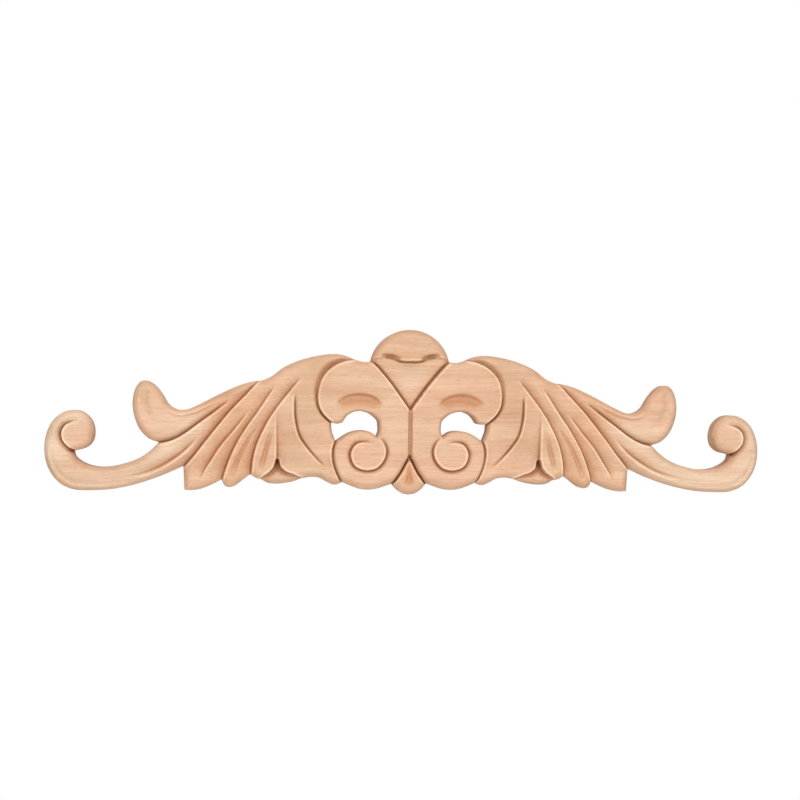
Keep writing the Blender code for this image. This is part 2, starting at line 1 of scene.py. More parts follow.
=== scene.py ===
# %% [markdown]
# # A carved wood applique
# The object is a flat-backed onlay for furniture and mantels. Two C-shaped scrolls meet on
# the centre line under a small dome. Behind each one a fan of leaves spreads outward and
# ends in a curled leaf and a long stem with a round volute.
#
# It is one piece of pale wood. It could be sculpted by hand, or each leaf could be modelled
# and joined to the others, but then the many fine cuts would be hard to keep in step with
# the solid model. Here the mesh is a height field: a flat drawing of the half, cut into
# small triangles, where each point is lifted to the height of the carved surface. A carver
# works the same way, drawing the outline on a board and cutting down from the front, and
# nothing on such a board hangs over.

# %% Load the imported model
import math

import bpy
import numpy as np
from mathutils import Matrix, Vector
from mathutils.geometry import delaunay_2d_cdt


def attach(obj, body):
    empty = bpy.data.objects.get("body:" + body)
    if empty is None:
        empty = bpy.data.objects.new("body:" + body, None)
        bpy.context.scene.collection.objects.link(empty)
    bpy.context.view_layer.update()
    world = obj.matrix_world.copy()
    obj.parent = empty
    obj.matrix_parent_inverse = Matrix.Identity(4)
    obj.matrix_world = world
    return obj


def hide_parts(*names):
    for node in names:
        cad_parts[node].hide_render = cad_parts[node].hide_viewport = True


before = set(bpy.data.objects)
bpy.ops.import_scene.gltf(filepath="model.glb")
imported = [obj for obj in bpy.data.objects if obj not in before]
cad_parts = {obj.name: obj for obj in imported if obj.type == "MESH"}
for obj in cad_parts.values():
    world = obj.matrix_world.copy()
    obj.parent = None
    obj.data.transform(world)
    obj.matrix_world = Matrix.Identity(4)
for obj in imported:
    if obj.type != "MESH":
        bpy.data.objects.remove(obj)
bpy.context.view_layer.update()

# %% [markdown]
# ## Curves
# Every line of the drawing is a smooth curve through a few points, as a spline is bent
# round pins. The Catmull-Rom kind passes through its points, and its centripetal form
# makes no loops where the points lie at uneven distances. Bezier handles would give the same
# lines, with twice as many numbers to set. All of them are in millimetres: u runs outward
# from the centre line and z upward.

# %% Smooth curves through points
STEP = 0.5                # mm between the samples of a line
TINY = 1e-6               # mm, as good as nothing


def smooth_curve(points, step=STEP):
    """Centripetal Catmull-Rom curve: between two points it is a blend of blends of straight
    lines, weighted by knots that grow with the square root of each distance.
    It gives the samples and the running point number of each."""
    p = np.asarray(points, float)
    ends = np.vstack([2 * p[0] - p[1], p, 2 * p[-1] - p[-2]])
    samples = []
    number = []
    for i in range(len(p) - 1):
        a, b, c, d = ends[i:i + 4]
        t1 = math.dist(a, b) ** 0.5
        t2 = t1 + math.dist(b, c) ** 0.5
        t3 = t2 + math.dist(c, d) ** 0.5
        count = max(1, math.ceil(math.dist(b, c) / step))
        f = np.arange(count) / count
        t = (t1 + (t2 - t1) * f)[:, None]
        ab = (t1 - t) / t1 * a + t / t1 * b
        bc = (t2 - t) / (t2 - t1) * b + (t - t1) / (t2 - t1) * c
        cd = (t3 - t) / (t3 - t2) * c + (t - t2) / (t3 - t2) * d
        abc = (t2 - t) / t2 * ab + t / t2 * bc
        bcd = (t3 - t) / (t3 - t1) * bc + (t - t1) / (t3 - t1) * cd
        samples.append((t2 - t) / (t2 - t1) * abc + (t - t1) / (t2 - t1) * bcd)
        number.append(i + f)
    samples.append(p[-1:])
    number.append(np.array([len(p) - 1.0]))
    return np.vstack(samples), np.concatenate(number)


def chain(curves, step=STEP):
    """Curves joined end to end, without the very last point."""
    return np.vstack([smooth_curve(c, step)[0][:-1] for c in curves])


# %% [markdown]
# ## The outline
# The edge of the half is a chain of such curves with a sharp corner wherever two meet:
# at the tips of the leaves, in the notches between them and where the scrolls part.
# The dome on top is a plain circle. One opening goes right through, between the head of the
# scroll and the small volute under it. Only the half is drawn, because a carver too lays out
# one half and turns the pattern over for the other.

# %% Outline and opening of the half
WIDTH = 400.0             # mm, of the whole piece
ORIGIN_Z = 44.4           # height of the centre of the back above the lowest ring
DOME_Z = 68.2
DOME_R = 22.6
DOME_FOOT = (22.2, 72.9)
CORNER_DROP = (9.8, 4.2)
CORNER_RING = (37.2, 4.9)
CORNER_WEB_IN = (59.3, 7.0)
CORNER_WEB_OUT = (82.6, 6.5)
NOTCH_34 = (88.0, 8.9)    # between fingers 3 and 4, counted from the centre
NOTCH_45 = (103.9, 5.9)
CORNER_FAN = (124.3, 0.5)
NOTCH_STEM = (125.0, 13.2)
NOTCH_EYE = (183.3, 21.6)
NOTCH_CURL = (138.8, 26.7)
CORNER_WING = (81.6, 61.9)
TIP_WING = (31.2, 74.0)
OPEN_TIP = (37.4, 38.1)
OPEN_CORNER = (43.2, 37.8)
OPEN_RING = (40.9, 28.8)
BOTTOM = -1.9

OUTLINE = [
    [(0, BOTTOM), (3, -1.4), (5.6, -0.1), (8, 1.9), CORNER_DROP],
    [CORNER_DROP, (13, 3.1), (17.5, 1.6), (22.5, 0.9), (27.5, 1.3), (32, 2.7), CORNER_RING],
    [CORNER_RING, (39.5, 3.7), (42.3, 3.5), (46, 5.1), (50, 7.2), (54.5, 7.7), CORNER_WEB_IN],
    [CORNER_WEB_IN, (64, 5.2), (69, 4.2), (74, 3.8), (78.5, 4.3), CORNER_WEB_OUT],
    [CORNER_WEB_OUT, (85, 7.1), NOTCH_34],
    [NOTCH_34, (92, 5.9), (95.5, 3.2), (98.5, 2.0), (101, 2.2), (102.8, 3.6), NOTCH_45],
    [NOTCH_45, (109, 3.3), (114.5, 1.1), (120, 0.2), CORNER_FAN],
    [CORNER_FAN, (124.7, 7), NOTCH_STEM],
    [NOTCH_STEM, (137, 7.9), (150, 3.5), (162, 0.9), (174, 0.1), (184, 0.6), (191.5, 4.1),
     (197.2, 11.2), (199.8, 20), (199.2, 30.5), (195, 39.3), (187.6, 44.2), (180.2, 44.1),
     (174.5, 39.6), (172.4, 33), (173.3, 27.2), (177, 23.4), NOTCH_EYE],
    [NOTCH_EYE, (182.6, 19.2), (179.5, 16.6), (174, 14.3), (167, 13.6), (159, 14.9),
     (150, 18), (143.5, 22.2), NOTCH_CURL],
    [NOTCH_CURL, (143.5, 28.5), (148.6, 33.5), (152, 41.5), (152.9, 49), (151.4, 56.6),
     (148.2, 60.6), (144.6, 61.1), (140.4, 58.9), (136, 53.8), (132.3, 48), (128, 45.5),
     (123.5, 45.4), (116, 48.5), (107, 53.2), (95, 58.8), (88, 61), CORNER_WING],
    [CORNER_WING, (77, 64.1), (70, 69.3), (61, 73.3), (50, 76.1), (41, 76.9), (35.5, 75.9),
     TIP_WING],
    [TIP_WING, (28.5, 73.1), (25.5, 72.6), DOME_FOOT],
]
OPENING = [
    [(17.7, 36), (18.2, 39.3), (20.5, 41.7), (23.3, 43.5), (27.5, 44.5), (31.3, 44.0),
     (34.6, 42.0), OPEN_TIP],
    [OPEN_TIP, (40.4, 37.4), OPEN_CORNER],
    [OPEN_CORNER, (42.9, 34.5), (41.8, 31), OPEN_RING],
    [OPEN_RING, (37.4, 31.3), (32.8, 33.7), (27.5, 34.7), (22.3, 34), (18.6, 31.6)],
    [(18.6, 31.6), (17.8, 33.6), (17.7, 36)],
]


def dome_arc(step=STEP):
    """Circle round (0, DOME_Z): u = R cos(angle), z = DOME_Z + R sin(angle), foot to top."""
    start = math.atan2(DOME_FOOT[1] - DOME_Z, DOME_FOOT[0])
    count = math.ceil(DOME_R * (math.pi / 2 - start) / step)
    angle = np.linspace(start, math.pi / 2, count + 1)
    arc = np.stack([DOME_R * np.cos(angle), DOME_Z + DOME_R * np.sin(angle)], 1)
    arc[0] = DOME_FOOT
    arc[-1, 0] = 0.0
    return arc


SAW_INSET = 0.45          # mm inside the drawn line that the saw runs


def inset(line, by, closed):
    """Each point moves to its left by a given distance along the mean normal of its two
    segments, a little further at a corner, as 2 / |n1 + n2|."""
    step = np.diff(np.vstack([line, line[:1]]) if closed else line, axis=0)
    step /= np.linalg.norm(step, axis=1)[:, None]
    after = step if closed else np.vstack([step, step[-1:]])
    before = np.roll(step, 1, 0) if closed else np.vstack([step[:1], step])
    both = np.stack([-(after + before)[:, 1], (after + before)[:, 0]], 1)
    size = np.maximum(np.linalg.norm(both, axis=1), 1.0)[:, None]
    return line + by * both / size * 2 / size


drawn = np.vstack([chain(OUTLINE), dome_arc()])
edge = inset(drawn, SAW_INSET, False)
edge[[0, -1], 0] = 0.0
hole = inset(chain(OPENING), SAW_INSET, True)
hole_ring = np.vstack([hole, hole[:1]])
print(f"outline of the half: {len(edge)} samples, opening: {len(hole)}")

# %% [markdown]
# ## Distances
# Each cut is described by how deep it goes at some distance from its line. So the one
# measuring tool needed is the distance from every point to a line, which side the point
# is on, and how far along the line it lies. Points outside the reach of a line
# are skipped, and the rest are measured in whole arrays, a few thousand at a time.

# %% Distance to a line
CHUNK = 4000              # points measured at a time


def nearest(p, line, number=None, reach=1e9):
    """For each point the least distance to the segments of the line, found by dropping a
    perpendicular on each, with the side (+1 left of the line's direction) and the running
    number there. Beyond the reach the distance is infinite."""
    number = np.arange(len(line)) if number is None else number
    distance = np.full(len(p), np.inf)
    side = np.ones(len(p))
    at = np.zeros(len(p))
    near = ((p >= line.min(0) - reach) & (p <= line.max(0) + reach)).all(1)
    near = np.flatnonzero(near)
    a = line[:-1]
    ab = line[1:] - a
    length = (ab ** 2).sum(1)
    for some in np.array_split(near, max(1, len(near) // CHUNK)):
        apx = p[some, 0][:, None] - a[:, 0]
        apy = p[some, 1][:, None] - a[:, 1]
        along = np.clip((apx * ab[:, 0] + apy * ab[:, 1]) / length, 0, 1)
        square = (apx - along * ab[:, 0]) ** 2 + (apy - along * ab[:, 1]) ** 2
        j = square.argmin(1)
        n = np.arange(len(some))
        distance[some] = np.sqrt(square[n, j])
        cross = ab[j, 0] * apy[n, j] - ab[j, 1] * apx[n, j]
        side[some] = np.where(cross >= 0, 1.0, -1.0)
        at[some] = number[j] + (number[j + 1] - number[j]) * along[n, j]
    return distance, side, at


def inside(p, ring):
    """Even-odd rule: a point is inside where a ray to its right crosses the ring an odd
    number of times."""
    result = np.zeros(len(p), bool)
    near = np.flatnonzero(((p >= ring.min(0)) & (p <= ring.max(0))).all(1))
    a, b = ring, np.roll(ring, -1, 0)
    rise = np.where(b[:, 1] == a[:, 1], 1.0, b[:, 1] - a[:, 1])
    lean = (b[:, 0] - a[:, 0]) / rise
    for some in np.array_split(near, max(1, len(near) // CHUNK)):
        x, y = p[some, 0][:, None], p[some, 1][:, None]
        spans = (a[:, 1] <= y) != (b[:, 1] <= y)
        result[some] = ((spans & (x < a[:, 0] + (y - a[:, 1]) * lean)).sum(1) % 2).astype(bool)
    return result


# %% [markdown]
# ## The cuts
# A carver parts the leaves with a V-tool, hollows them with a gouge and sets the scroll
# back with a stop cut. Each cut here is a line with a depth at each of its points. For its
# left and right side it has a reach at its start, a reach at its end, and a power. A short
# reach gives a crisp edge. A long one gives the slope of a leaf that dips under
# its neighbour, straight where the power is near 1 and hollow where it is higher. Cutting
# tools could be subtracted as solids instead, but so many of them would leave slivers
# where they cross.

# %% The table of cuts
V, U, SLOT = "V", "U", "SLOT"     # knife cut, gouge hollow, flat-bottomed groove
LIP = [(0, 72.4), (4, 72.4), (6.6, 72.8), (8.8, 73.7), (11, 74.2), (14, 74.4), (17, 74.2),
       (20, 73.6), DOME_FOOT]
WEB = [CORNER_WEB_IN, (64.5, 9.4), (68.6, 10.9), (71.6, 13.6), (73.2, 17.8), (74.8, 13.6),
       (77, 10.8), (80, 8.7), CORNER_WEB_OUT]


def deepened(line, depths):
    """The points of a line with a depth for each."""
    return [q + (d,) for q, d in zip(line, depths)]


CUTS = {
    "centre_line": (SLOT, [(0, 46.5, 2.0), (0, 18.5, 2.0)], (1.3, 1.3, 1), (1.3, 1.3, 1)),
    "wedge_side": (V, [(0, 46, 2.8), (4.2, 51.8, 3.0), (9.6, 59.2, 3.0), (14.8, 65.6, 3.0),
                       (19.6, 70.8, 3.0), DOME_FOOT + (3.4,)], (1.6, 1.8, 2.0), (0.7, 0.7, 1.1)),
    "drop_side": (V, [(0, 20.5, 2.6), (1.7, 16.9, 4.4), (4.9, 10.9, 4.8), (7.4, 7.2, 5.0),
                      CORNER_DROP + (6.5,)], (1.8, 3.0, 1.8), (0.8, 0.9, 1.2)),
    "drop_facet": (U, [(0, 14.6, 0), (0, 11, 1.2), (0, 7.6, 1.9), (0, 5.6, 1.4), (0, 4.2, 0)],
                   (0.8, 4.0, 1), (0.8, 4.0, 1)),
    "lobe_outer": (V, [TIP_WING + (3.2,), (38, 72.4, 3.6), (44.4, 69, 3.4), (49.4, 63.2, 2.8),
                       (51.6, 55.8, 2.6), (51.3, 48.4, 2.8), (48.6, 42.9, 3.2),
                       OPEN_CORNER + (4.0,)], (5.5, 0.8, 2.2), (0.8, 0.8, 1.2)),
    "ring_outer": (V, [OPEN_RING + (3.6,), (42.5, 23, 3.0), (41.8, 15.5, 2.8), (39.6, 9.5, 3.2),
                       CORNER_RING + (5,)], (0.8, 0.8, 1.2), (1.6, 2.2, 2.0)),
    "small_eye": (V, [(20.2, 27.4, 0), (25.2, 28.2, 1.4), (30.2, 26.9, 2.4), (33.3, 21.4, 2.8),
                      (31.0, 14.5, 2.8), (25.0, 11.8, 2.8), (18.6, 12.8, 2.8), (14.2, 17.2, 2.8),
                      (12.7, 22.6, 2.6), (14.0, 27.2, 1.6), (16.2, 30, 0.7), (18.6, 31.8, 0)],
                  (2.6, 1.8, 1.8), (0.7, 1.0, 1.2)),
    "leaf_vein": (V, [(63.6, 54.5, 0), (63.8, 49, 2.0), (63.3, 40, 2.2), (61, 31.2, 2.2),
                      (56, 23.8, 2.0), (51, 18.2, 1.5), (46, 13.5, 0)], (0.8, 0.8, 1.2),
                  (1.6, 1.6, 2.0)),
    "finger_3_side": (V, [(73.4, 46, 0), (73.4, 38, 0.9), (73.2, 30, 1.4), (73.2, 22, 2.2),
                          (73.2, 17, 3.4)], (0.7, 0.8, 1.2), (5.5, 5.5, 1.3)),
    "finger_3_4": (V, [(61.0, 63.2, 0), (63.5, 60.3, 1.4), (66.5, 56.6, 2.2), (71.3, 50.6, 2.6),
                       (76.8, 43, 2.8), (81.6, 34.4, 3.0), (85.2, 26, 3.2), (87.2, 17.5, 3.4),
                       NOTCH_34 + (4.4,)], (4.0, 7.0, 1.3), (0.7, 0.8, 1.2)),
    "finger_3_scoop": (U, [(75.6, 36, 0), (77.8, 29.5, 1.5), (79.8, 22, 2.2), (81.4, 16, 1.6),
                           (82.4, 11, 0)], (1.7, 2.0, 1), (1.7, 2.0, 1)),
    "finger_4_5": (V, [(75.0, 58.6, 0), (77.4, 55.4, 1.4), (80.4, 50.8, 2.2), (85.2, 43.6, 2.4),
                       (91, 35.4, 2.7), (96.2, 26.6, 3.0), (100.2, 17.6, 3.4), (102.6, 10.6, 3.8),
                       NOTCH_45 + (4.4,)], (4.0, 7.5, 1.3), (0.7, 0.8, 1.2)),
    "finger_4_scoop": (U, [(81.0, 41.0, 0), (85.6, 33.6, 1.7), (90.2, 26.6, 2.2), (94.2, 19.0, 2.2),
                           (97.6, 11, 1.2), (98.8, 7, 0)], (1.7, 2.1, 1), (1.7, 2.1, 1)),
    "finger_5_6": (V, [(88.8, 45.4, 0), (92.6, 40.6, 1.6), (97.4, 34.4, 2.2), (104.4, 26, 2.6),
                       (110.3, 17, 2.6), (113.6, 11.6, 1.8), (115.6, 7, 0)], (4.0, 6.5, 1.4),
                   (0.7, 0.8, 1.2)),
    "fan_edge": (V, [(82.6, 63.0, 2.6), (91, 53.8, 2.8), (99.4, 45.0, 3.2), (106.6, 36.2, 3.2),
                     (113.2, 27.8, 3.2), (119, 20.2, 3.4), NOTCH_STEM + (4.2,)],
                 (4.5, 5.0, 1.5), (0.7, 0.8, 1.2)),
    "stem_vein": (V, [(115.6, 32.0, 0), (119, 28.2, 0.9), (124, 23.0, 2.2), (131, 17.8, 2.4),
                      (139, 13.2, 2.0), (147, 10.2, 1.5), (157, 8.0, 1.0), (170, 6.6, 0.6),
                      (180, 7.0, 0)], (4.0, 4.5, 1.4), (0.9, 2.0, 1.2)),
    "stem_hollow": (U, [(141, 8.6, 0), (150, 6.3, 0.8), (162, 4.4, 1.1), (174, 3.8, 1.1),
                        (185, 5.2, 1.1), (192.4, 11.0, 1.0), (195.8, 20, 0.6), (195.6, 29, 0)],
                    (2.6, 2.6, 1), (2.6, 2.6, 1)),
    "curl_under": (V, [(99, 50.8, 0), (102.6, 48.4, 1.6), (107.6, 44.6, 2.6), (116, 38.4, 3.2),
                       (125, 31.8, 3.6), (131.5, 28.4, 3.8), NOTCH_CURL + (4.6,)],
                   (2.6, 4.6, 2.0), (0.7, 0.9, 1.2)),
    "curl_bead": (V, [(103, 50.2, 0), (110.8, 46.4, 0.9), (119.5, 42.6, 1.1), (127, 41.2, 0.9),
                      (132, 42.6, 0.6), (135.6, 46.4, 0)], (1.2, 1.2, 1.2), (2.4, 2.4, 1.4)),
    "curl_scoop": (U, [(137.5, 35, 0), (143.6, 41.6, 0.9), (146, 49, 1.2), (145.4, 54.6, 0.8),
                       (144.8, 58, 0)], (4, 3, 1), (4, 3, 1)),
    "outer_eye": (V, [(180.6, 39.3, 0), (184.4, 38.3, 1.2), (188.4, 36.4, 3.2), (190.7, 32.4, 4.0),
                      (190.1, 27.8, 3.6), (187.2, 24.2, 3.4), NOTCH_EYE + (5.4,)],
                  (3.6, 3.0, 1.7), (0.7, 0.8, 1.2)),
    "eye_pit": (U, [(182.6, 20.9, 3.0), (184.4, 22.0, 5.8), (186.0, 22.8, 4.8), (187.8, 24.0, 0)],
                (1.3, 1.2, 1), (1.3, 1.2, 1)),
    "lip": (V, deepened(LIP, (2.6, 2.6, 2.4, 1.8, 1.2, 0.9, 0.7, 0.4, 0)), (0.7, 0.8, 1.2),
            (0.7, 0.8, 1.2)),
    "lip_hollow": (U, [(5.6, 73.5, 0), (7.8, 74.4, 3.2), (10.2, 75.2, 5.2), (12.6, 75.5, 4.6),
                       (14.8, 75.6, 2.2), (16.8, 75.6, 0)], (1.6, 1.8, 1), (1.6, 1.8, 1)),
    "cove": (U, [(16.0, 47.4, 0), (18.2, 50.2, 2.0), (22.4, 52.6, 3.6), (28, 53.6, 4.2),
                 (33.8, 52.8, 3.6), (38.0, 50.6, 2.0), (41.0, 48.0, 0)], (1.6, 1.6, 1),
             (9.5, 9.5, 1)),
    "web_edge": (V, deepened(WEB, (2.4, 2.6, 2.8, 3.2, 4.0, 3.2, 2.8, 2.6, 2.4)), (0.7, 0.7, 1.2),
                 (3.0, 3.0, 1.3)),
    "web_pit": (U, [(73.2, 18.6, 0), (73.2, 15.8, 5.0), (73.2, 13, 3.0), (73.2, 11, 0)],
                (1.5, 1.7, 1), (1.5, 1.7, 1)),
}

# %% [markdown]
# ## One cut
# Beside a deep knife cut the wood stands up in a fine crest, because the tool presses it
# sideways, and the crest is also given a painted highlight. The bottom of the cut gets a thin
# line of painted shade. Both follow the cut, so they are worked out with its depth, as bell
# curves of the distance to its line.

# %% Depth, crest and knife line of one cut
CREST_OUT = 0.35          # mm from the top of a steep side to its crest
CREST_WIDTH = 0.5         # mm
CREST_SPAN = 3.0          # mm from a line within which its crest is worked out
CREST_FULL = 2.2          # mm depth of cut at which the crest is fully there
CREST_RISE = 0.25         # mm
# The knife line below is painted shade along the bottom of a cut, and the crest above also carries
# a painted highlight.
KNIFE_WIDTH = 0.5         # mm
KNIFE_FULL = 3.4          # mm depth of cut at which its bottom is darkest
SLOT_FLAT = 0.45          # share of a slot's half width that is its flat bottom


def cut_depth(p, kind, points, left, right):
    """Depth of one cut, with a = distance / reach. A V side is depth * (1 - a) ** power.
    A U hollow is depth * (1 - a^2)^2. A SLOT has a flat bottom and smooth sides.
    With it go two marks of a V, both bell curves exp(-(off / width)^2): the crest on its
    steep side just past the top, also used for a painted highlight, and the knife line round
    its bottom, a line of painted shade."""
    line, number = smooth_curve([q[:2] for q in points])
    distance, side, at = nearest(p, line, number, max(left[:2] + right[:2] + (CREST_SPAN,)))
    deep = np.interp(at, np.arange(len(points)), [q[2] for q in points])
    share = at / (len(points) - 1)
    reach = np.where(side > 0, left[0] + (left[1] - left[0]) * share,
                     right[0] + (right[1] - right[0]) * share)
    away = np.clip(distance / np.maximum(reach, TINY), 0, 1)
    if kind == U:
        return deep * (1 - away ** 2) ** 2, 0, 0
    if kind == SLOT:
        slope = np.clip((1 - away) / (1 - SLOT_FLAT), 0, 1)
        return deep * slope ** 2 * (3 - 2 * slope), 0, 0
    steep = side < 0 if left[0] > right[0] else side > 0
    crest = np.exp(-((distance - reach - CREST_OUT) / CREST_WIDTH) ** 2)
    crest *= steep * np.clip(deep / CREST_FULL, 0, 1)
    knife = np.exp(-(distance / KNIFE_WIDTH) ** 2) * np.clip(deep / KNIFE_FULL, 0, 1)
    return deep * (1 - away) ** np.where(side > 0, left[2], right[2]), crest, knife


# %% [markdown]
# ## The uncut tops
# Before the cuts, each form is roughed out to its own level: the scrolls stand highest, the
# wedge between them lies lower, and the leaves fall gently toward their tips. A few named
# heights are blended in between, each weighing most near its own place. Where two forms
# meet, their levels are mixed across a seam little more than a millimetre wide.

# %% Levels of the forms
TOPS = {                  # u, z and height of named places, in mm
    "leaf": [(45, 73, 11), (56, 66, 12.5), (57, 50, 13), (57, 35, 12), (48, 25, 10.5), (44, 12, 9),
             (41, 6, 8.5), (70, 62, 12.5), (70, 45, 12), (66, 25, 10.5), (58, 13, 9.5),
             (78, 58, 12), (79, 35, 11.2), (79, 16, 10), (90, 50, 11.6), (92, 28, 10.6),
             (99, 8, 9.8), (105, 35, 11), (116, 10, 9.8), (100, 50, 11.4), (113, 38, 11.2),
             (126, 22, 11), (120, 43, 11), (136, 38, 11), (146, 42, 11), (146, 56, 10.5),
             (140, 14, 11), (160, 8, 11.2), (180, 8, 11.6), (195, 20, 12), (190, 41, 12),
             (181, 32, 12.4), (176, 38, 12)],
    "scroll": [(8, 36, 14), (10, 48, 14.8), (18, 60, 15.6), (30, 62, 16), (43, 60, 15.2),
               (45, 48, 13.5), (42, 42, 12.5), (8, 24, 14), (11, 12, 13.2), (22, 6, 12.5),
               (34, 8, 12.2), (38.5, 20, 12.4), (34, 29, 12.8), (22, 31, 13.4), (24, 20, 13.4)],
    "wedge": [(0, 66, 11.2), (0, 52, 11.0), (12, 70, 11.4), (14, 73.6, 12.4), (5, 71.4, 12.0)],
    "drop": [(0, 14, 10), (0, 4, 10), (0, 0, 9.5)],
    "dome": [(0, 75.5, 15.4), (0, 80, 14.2), (14, 78, 13.6), (0, 88, 12.6), (16, 84, 12.4)],
    "web": [(73.5, 5, 7.4), (66, 6, 6.8), (80, 6, 6.6), (73.3, 15, 4.6)],
}
BLEND_REACH = 5.0         # mm over which neighbouring heights melt together
FORM_SEAM = 1.2           # mm width of the seam where two forms meet


def blended(p, tops):
    """Mean of the named heights, each weighing 1 / (distance^2 + BLEND_REACH^2)^2."""
    t = np.array(tops, float)
    square = (p[:, :1] - t[:, 0]) ** 2 + (p[:, 1:] - t[:, 1]) ** 2 + BLEND_REACH ** 2
    weight = square ** -2
    return (weight * t[:, 2]).sum(1) / weight.sum(1)


def form_rings():
    """Closed rings round the forms that have levels of their own. They run past the centre."""
    cut = {name: smooth_curve([q[:2] for q in CUTS[name][1]])[0]
           for name in ("wedge_side", "drop_side", "ring_outer", "lobe_outer", "web_edge")}
    lip = smooth_curve(LIP)[0]
    top, low, over = cut["wedge_side"][0, 1], cut["drop_side"][0, 1], -DOME_R
    return {
        "scroll": np.vstack([cut["drop_side"][:-1], smooth_curve(OUTLINE[1])[0][:-1],
                             cut["ring_outer"][::-1], cut["lobe_outer"][::-1][:-1],
                             smooth_curve(OUTLINE[-1])[0][:-1], cut["wedge_side"][::-1],
                             [(over, top), (over, low)]]),
        "wedge": np.vstack([cut["wedge_side"], lip[::-1][1:], [(over, lip[0, 1]), (over, top)]]),
        "drop": np.vstack([smooth_curve(OUTLINE[0])[0][:-1], cut["drop_side"][::-1],
                           [(over, low), (over, BOTTOM)]]),
        "dome": np.vstack([lip[:-1], dome_arc(), [(over, DOME_Z + DOME_R), (over, lip[0, 1])]]),
        "web": np.vstack([cut["web_edge"], smooth_curve(OUTLINE[3])[0][::-1][1:-1]]),
    }


# %% [markdown]
# ## The carved surface
# The cuts are taken from the tops. Where two meet, their depths are joined as the cube
# root of summed cubes, which is close to the deeper one and has no crease between them.
# The outer edges are rounded over in the same way.

# %% Height of the carved surface
RIM = 3.8                 # mm that the outer edge is rounded down below the tops
RIM_OPENING = 2.6         # mm, the same round the opening
ROUND_EDGE = 4.0          # mm in from the outline that the rounding reaches
ROUND_OPENING = 2.0       # mm, the same round the opening
THINNEST = 2.0            # mm of wood left under the deepest cut
JOIN = 3                  # the power with which depths are summed


def height(p):
    """Top minus the cube root of the summed cubes of all the cuts and of both roundings,
    where a rounding is rim * (1 - distance / width)^2. The crests are added to it. The
    strength of the crests and of the knife lines is given back too, for the painted
    highlight on the crests and the painted shade along the knife lines."""
    top = blended(p, TOPS["leaf"])
    for name, ring in form_rings().items():
        away = nearest(p, np.vstack([ring, ring[:1]]))[0]
        share = np.clip(0.5 + np.where(inside(p, ring), away, -away) / FORM_SEAM, 0, 1)
        top += (blended(p, TOPS[name]) - top) * share
    to_edge = nearest(p, edge, reach=ROUND_EDGE)[0]
    to_hole = nearest(p, hole_ring, reach=ROUND_OPENING)[0]
    total = (RIM * np.clip(1 - to_edge / ROUND_EDGE, 0, 1) ** 2) ** JOIN
    total += (RIM_OPENING * np.clip(1 - to_hole / ROUND_OPENING, 0, 1) ** 2) ** JOIN
    crest = np.zeros(len(p))
    knife = np.zeros(len(p))
    for cut in CUTS.values():
        deep, crest_of_cut, knife_shade_of_cut = cut_depth(p, *cut)
        crest = np.maximum(crest * (1 - np.clip(deep, 0, 1)), crest_of_cut)
        knife = np.maximum(knife, knife_shade_of_cut)
        total += deep ** JOIN
    carved = np.maximum(top - total ** (1 / JOIN), THINNEST)
    return carved + CREST_RISE * crest, crest, knife


# %% [markdown]
# ## The triangles
# Rows of points in a honeycomb give even triangles. A constrained Delaunay triangulation
# then joins them and keeps the outline and every knife cut as edges, so that the bottom of
# a cut is one clean line. On a plain square grid it would be a saw edge.

# %% Points and triangles of the half
SPACING = 0.5             # mm between the rows of points
CLEAR = 0.56              # share of the spacing that free points keep from the lines
CENTRE_STEP = 0.5         # mm between the points on the centre line
LINE_GAP = 0.4            # mm from the outline at which a kept line stops
WELD = 1e-4               # mm within which two points are one
half_ring = np.vstack([edge, [(-1, edge[-1, 1]), (-1, edge[0, 1])]])


def honeycomb():
    """Staggered rows: u = column * spacing, and half a spacing more on every other row."""
    u, z = np.meshgrid(np.arange(0, WIDTH / 2, SPACING),
                       np.arange(BOTTOM, DOME_Z + DOME_R, SPACING * math.sqrt(3) / 2))
    u[1::2] += SPACING / 2
    p = np.stack([u.ravel(), z.ravel()], 1)
    return p[inside(p, edge) & ~inside(p, hole)]


def kept_lines():
    """The lines that must be edges: every knife cut, cut short at the outline and opening."""
    lines = []
    for points in [cut[1] for cut in CUTS.values() if cut[0] == V]:
        line = smooth_curve([q[:2] for q in points])[0]
        line = line[inside(line, half_ring) & (nearest(line, edge, reach=LINE_GAP)[0] > LINE_GAP)]
        lines.append(line[nearest(line, hole_ring, reach=LINE_GAP)[0] > LINE_GAP])
    return lines


def face_up(flat, faces):
    """Turns round each triangle whose signed area is negative."""
    a, b, c = flat[faces[:, 0]], flat[faces[:, 1]], flat[faces[:, 2]]
    turn = (b - a)[:, 0] * (c - a)[:, 1] - (b - a)[:, 1] * (c - a)[:, 0]
    return np.where(turn[:, None] < 0, faces[:, ::-1], faces)


def triangles_of_half():
    """Free points at least CLEAR * SPACING off the lines, then the triangulation of all,
    keeping the triangles whose middle is on the wood."""
    z = np.linspace(edge[-1, 1], edge[0, 1], math.ceil((edge[-1, 1] - edge[0, 1]) / CENTRE_STEP))
    centre = np.stack([np.zeros(len(z)), z], 1)
    chains = [np.vstack([edge, centre[1:]]), hole_ring] + kept_lines()
    free = honeycomb()
    for line in chains:
        free = free[nearest(free, line, reach=SPACING)[0] > CLEAR * SPACING]
    points = np.vstack([free] + chains)
    first = len(free) + np.cumsum([0] + [len(c) for c in chains[:-1]])
    links = np.vstack([np.stack([np.arange(n, n + len(c) - 1), np.arange(n + 1, n + len(c))], 1)
                       for n, c in zip(first, chains)])
    flat, _, faces, _, _, _ = delaunay_2d_cdt(points.tolist(), links.tolist(), [], 0, WELD)
    flat = np.array(flat)
    faces = np.array(faces)
    middle = flat[faces].mean(1)
    faces = faces[inside(middle, chains[0]) & ~inside(middle, hole)]
    used, faces = np.unique(faces, return_inverse=True)
    return flat[used], face_up(flat[used], faces.reshape(-1, 3))


plan, plan_faces = triangles_of_half()
rise, crest, knife = height(plan)
print(f"half: {len(plan)} points, {len(plan_faces)} triangles")
print(f"height {rise.min():.1f} to {rise.max():.1f} mm")

